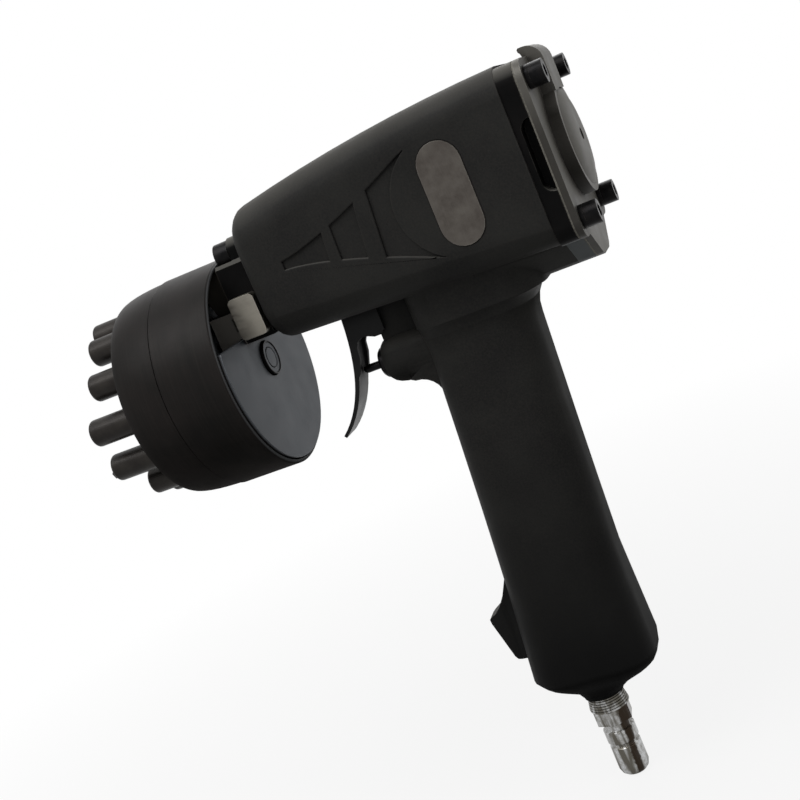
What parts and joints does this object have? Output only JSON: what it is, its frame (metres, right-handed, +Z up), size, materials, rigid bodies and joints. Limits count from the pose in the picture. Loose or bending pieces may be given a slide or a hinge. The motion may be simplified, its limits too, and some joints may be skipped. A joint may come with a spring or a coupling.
{
  "type": "pneumatic marking machine",
  "caption": "Hand-held pistol-grip air tool that strikes number punches held in a rotary drum at its nose, with a trigger valve and an air nipple under the grip.",
  "frame": {"origin": "centre of the flat tip of the punch at work, on the hammer axis", "axes": "+X back along the hammer axis, +Y to the user's right, +Z up with the grip hanging along -Z"},
  "size_m": [0.2118, 0.086, 0.2776],
  "materials": {
    "housing_black": "fine grain, matte",
    "block_black": "smooth, half matte",
    "bracket_black": "smooth, half matte",
    "cover_grey": "blasted, half matte",
    "gasket": "matte",
    "screw_steel": "blackened",
    "label_metal": "bare, matte",
    "bright_steel": "ground",
    "disc_steel": "dark, half matte",
    "drum_steel": "blackened, half matte",
    "punch_steel": "blackened, half matte",
    "trigger_steel": "blackened sheet",
    "nipple_chrome": "plated",
    "steel": "ground",
    "bronze": "bare",
    "rubber": "matte",
    "ring_plastic": "matte"
  },
  "bodies": {
    "frame": {"housing": "housing_black", "cylinder_liner": "steel", "front_buffer": "rubber", "striker_bush": "bronze", "rear_block": "block_black", "rear_gasket": "gasket", "rear_cover": "cover_grey", "end_cap": "cover_grey", "rear_screws": "screw_steel", "spring_washers": "screw_steel", "label_plate": "label_metal", "nose_bracket": "bracket_black", "bracket_screws": "screw_steel", "index_block": "bright_steel", "index_screws": "screw_steel", "back_disc": "disc_steel", "drum_axle": "steel", "axle_nut": "disc_steel", "trigger_pin": "steel", "valve_bush": "screw_steel", "valve_plug": "steel", "valve_seal": "rubber", "air_nipple": "nipple_chrome", "hammer_spring": "steel", "valve_spring": "steel", "detent_spring": "steel"},
    "drum": {"drum": "drum_steel", "punch_keeper": "disc_steel", "keeper_screws": "screw_steel", "drum_bush": "bronze", "punch_rings": "rubber"},
    "punch_01": {"punch_01": "punch_steel"},
    "punch_02": {"punch_02": "punch_steel"},
    "punch_03": {"punch_03": "punch_steel"},
    "punch_04": {"punch_04": "punch_steel"},
    "punch_05": {"punch_05": "punch_steel"},
    "punch_06": {"punch_06": "punch_steel"},
    "punch_07": {"punch_07": "punch_steel"},
    "punch_08": {"punch_08": "punch_steel"},
    "punch_09": {"punch_09": "punch_steel"},
    "punch_10": {"punch_10": "punch_steel"},
    "punch_11": {"punch_11": "punch_steel"},
    "punch_12": {"punch_12": "punch_steel"},
    "hammer": {"hammer": "steel", "hammer_rings": "ring_plastic"},
    "striker": {"striker": "steel"},
    "trigger": {"trigger": "trigger_steel"},
    "valve": {"valve_stem": "screw_steel", "stem_seal": "rubber"},
    "detent": {"detent_ball": "bright_steel"}
  },
  "joints": [
    {"name": "trigger_pivot", "type": "hinge", "parent": "frame", "child": "trigger", "pos_m": [0.1122, 0, -0.0239], "axis": [0, -1, 0], "range_deg": [0, 8], "stiffness_Nm_per_rad": 0.6, "springref_deg": -8.59},
    {"name": "valve_slide", "type": "slide", "parent": "frame", "child": "valve", "axis": [1, 0, 0], "range_m": [0, 0.004], "deforming": ["valve_spring"]},
    {"name": "drum_turn", "type": "hinge", "parent": "frame", "child": "drum", "pos_m": [0, 0, -0.032], "axis": [1, 0, 0], "continuous": true},
    {"name": "punch_01_slide", "type": "slide", "parent": "drum", "child": "punch_01", "axis": [-1, 0, 0], "range_m": [-0.0049, 0.0021]},
    {"name": "punch_02_slide", "type": "slide", "parent": "drum", "child": "punch_02", "axis": [-1, 0, 0], "range_m": [-0.0003, 0.0067]},
    {"name": "punch_03_slide", "type": "slide", "parent": "drum", "child": "punch_03", "axis": [-1, 0, 0], "range_m": [-0.0001, 0.0069]},
    {"name": "punch_04_slide", "type": "slide", "parent": "drum", "child": "punch_04", "axis": [-1, 0, 0], "range_m": [-0.0056, 0.0014]},
    {"name": "punch_05_slide", "type": "slide", "parent": "drum", "child": "punch_05", "axis": [-1, 0, 0], "range_m": [-0.0059, 0.0011]},
    {"name": "punch_06_slide", "type": "slide", "parent": "drum", "child": "punch_06", "axis": [-1, 0, 0], "range_m": [-0.0003, 0.0067]},
    {"name": "punch_07_slide", "type": "slide", "parent": "drum", "child": "punch_07", "axis": [-1, 0, 0], "range_m": [-0.0012, 0.0058]},
    {"name": "punch_08_slide", "type": "slide", "parent": "drum", "child": "punch_08", "axis": [-1, 0, 0], "range_m": [-0.0024, 0.0046]},
    {"name": "punch_09_slide", "type": "slide", "parent": "drum", "child": "punch_09", "axis": [-1, 0, 0], "range_m": [-0.004, 0.003]},
    {"name": "punch_10_slide", "type": "slide", "parent": "drum", "child": "punch_10", "axis": [-1, 0, 0], "range_m": [-0.002, 0.005]},
    {"name": "punch_11_slide", "type": "slide", "parent": "drum", "child": "punch_11", "axis": [-1, 0, 0], "range_m": [-0.005, 0.002]},
    {"name": "punch_12_slide", "type": "slide", "parent": "drum", "child": "punch_12", "axis": [-1, 0, 0], "range_m": [-0.0016, 0.0054]},
    {"name": "hammer_slide", "type": "slide", "parent": "frame", "child": "hammer", "axis": [-1, 0, 0], "range_m": [0, 0.03], "stiffness_N_per_m": 400, "springref_m": -0.01, "deforming": ["hammer_spring"]},
    {"name": "striker_slide", "type": "slide", "parent": "frame", "child": "striker", "axis": [-1, 0, 0], "range_m": [0, 0.003]},
    {"name": "detent_slide", "type": "slide", "parent": "frame", "child": "detent", "axis": [1, 0, 0], "range_m": [0, 0.0015], "stiffness_N_per_m": 2500, "springref_m": -0.0005, "deforming": ["detent_spring"]}
  ],
  "couplings": [
    {"joint": "valve_slide", "follows": "trigger_pivot", "m_per_rad": 0.0285}
  ]
}
